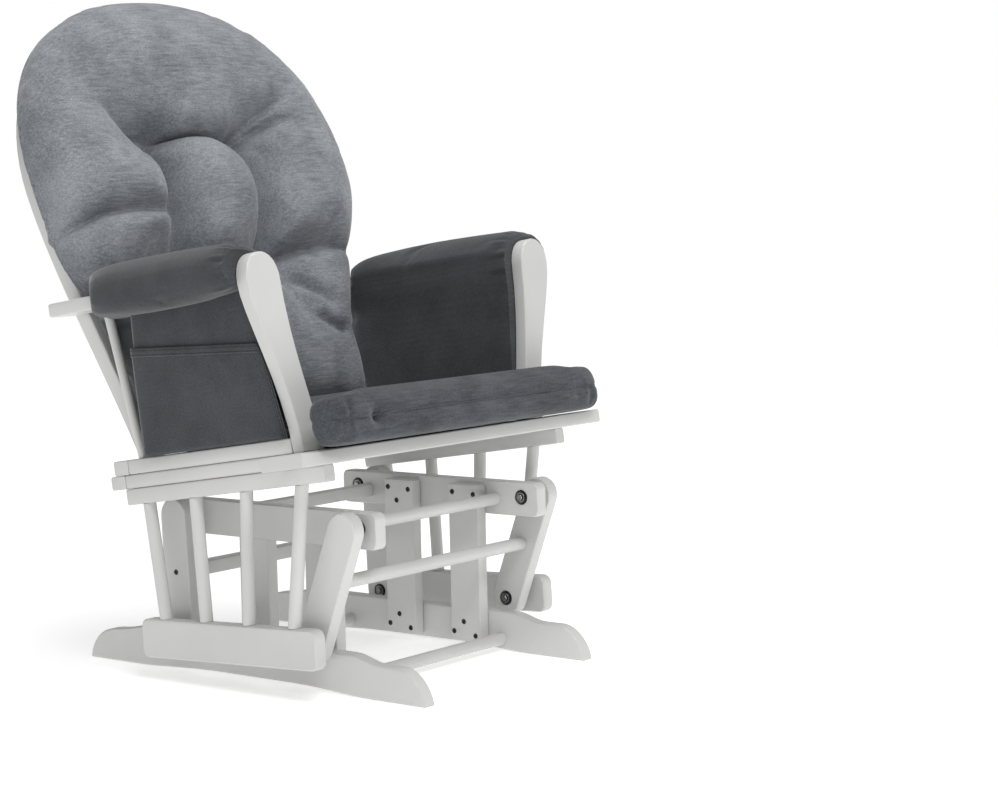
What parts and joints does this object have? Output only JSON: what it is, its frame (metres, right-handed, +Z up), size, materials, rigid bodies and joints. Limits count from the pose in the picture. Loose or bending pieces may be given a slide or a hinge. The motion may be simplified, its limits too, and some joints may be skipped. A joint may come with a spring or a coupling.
{
  "type": "glider chair",
  "caption": "Gliding nursery armchair: a cushioned seat with a hoop back and padded arms hangs on swing links inside a low floor base.",
  "frame": {"origin": "on the floor, at the middle of the chair's width and of its overall depth as it stands at rest", "axes": "+Z up, -Y towards the front (where the sitter faces), +X towards the sitter's left"},
  "size_m": [0.6738, 0.7148, 0.9366],
  "materials": {
    "paint": "white satin paint over smooth wood",
    "back_cloth": "blue-grey heathered weave",
    "arm_cloth": "dark grey brushed cloth",
    "pivot": "black bearing ring with a dull steel bolt head"
  },
  "bodies": {
    "base": {"front_foot_dowel": "paint", "rear_foot_dowel": "paint", "base_front_dowel": "paint", "base_rear_crossbar": "paint", "right_foot": "paint", "right_base_rail": "paint", "right_front_post": "paint", "right_rear_post": "paint", "right_upper_front_pivot": "pivot", "right_upper_rear_pivot": "pivot", "left_foot": "paint", "left_base_rail": "paint", "left_front_post": "paint", "left_rear_post": "paint", "left_upper_front_pivot": "pivot", "left_upper_rear_pivot": "pivot"},
    "front_links": {"front_link_dowel": "paint", "right_front_link": "paint", "right_lower_front_pivot": "pivot", "left_front_link": "paint", "left_lower_front_pivot": "pivot"},
    "rear_links": {"rear_link_crossbar": "paint", "right_rear_link": "paint", "right_lower_rear_pivot": "pivot", "left_rear_link": "paint", "left_lower_rear_pivot": "pivot"},
    "seat": {"front_rail": "paint", "rear_middle_rail": "paint", "rear_top_rail": "paint", "seat_deck": "paint", "hoop": "paint", "centre_back_slat": "paint", "seat_cushion": "back_cloth", "back_cushion": "back_cloth", "right_lower_rail": "paint", "right_spindle_1": "paint", "right_spindle_2": "paint", "right_spindle_3": "paint", "right_spindle_4": "paint", "right_seat_rail": "paint", "right_middle_rail": "paint", "right_arm_base_rail": "paint", "right_arm_post": "paint", "right_arm_board": "paint", "right_arm_spindle": "paint", "right_arm_cushion": "arm_cloth", "right_back_slat": "paint", "left_lower_rail": "paint", "left_spindle_1": "paint", "left_spindle_2": "paint", "left_spindle_3": "paint", "left_spindle_4": "paint", "left_seat_rail": "paint", "left_middle_rail": "paint", "left_arm_base_rail": "paint", "left_arm_post": "paint", "left_arm_board": "paint", "left_arm_spindle": "paint", "left_arm_cushion": "arm_cloth", "left_back_slat": "paint"}
  },
  "joints": [
    {"name": "front_swing", "type": "hinge", "parent": "base", "child": "front_links", "pos_m": [0, -0.2528, 0.223], "axis": [1, 0, 0], "range_deg": [-27, 10]},
    {"name": "rear_swing", "type": "hinge", "parent": "base", "child": "rear_links", "pos_m": [0, 0.053, 0.223], "axis": [1, 0, 0], "range_deg": [-27, 10]},
    {"name": "seat_swing", "type": "hinge", "parent": "front_links", "child": "seat", "pos_m": [0, -0.19394, 0.06886], "axis": [1, 0, 0], "range_deg": [-12.7, 34.2]}
  ],
  "couplings": [
    {"joint": "rear_swing", "follows": "front_swing", "ratio": 0.9916},
    {"joint": "seat_swing", "follows": "front_swing", "ratio": -1.2649}
  ]
}
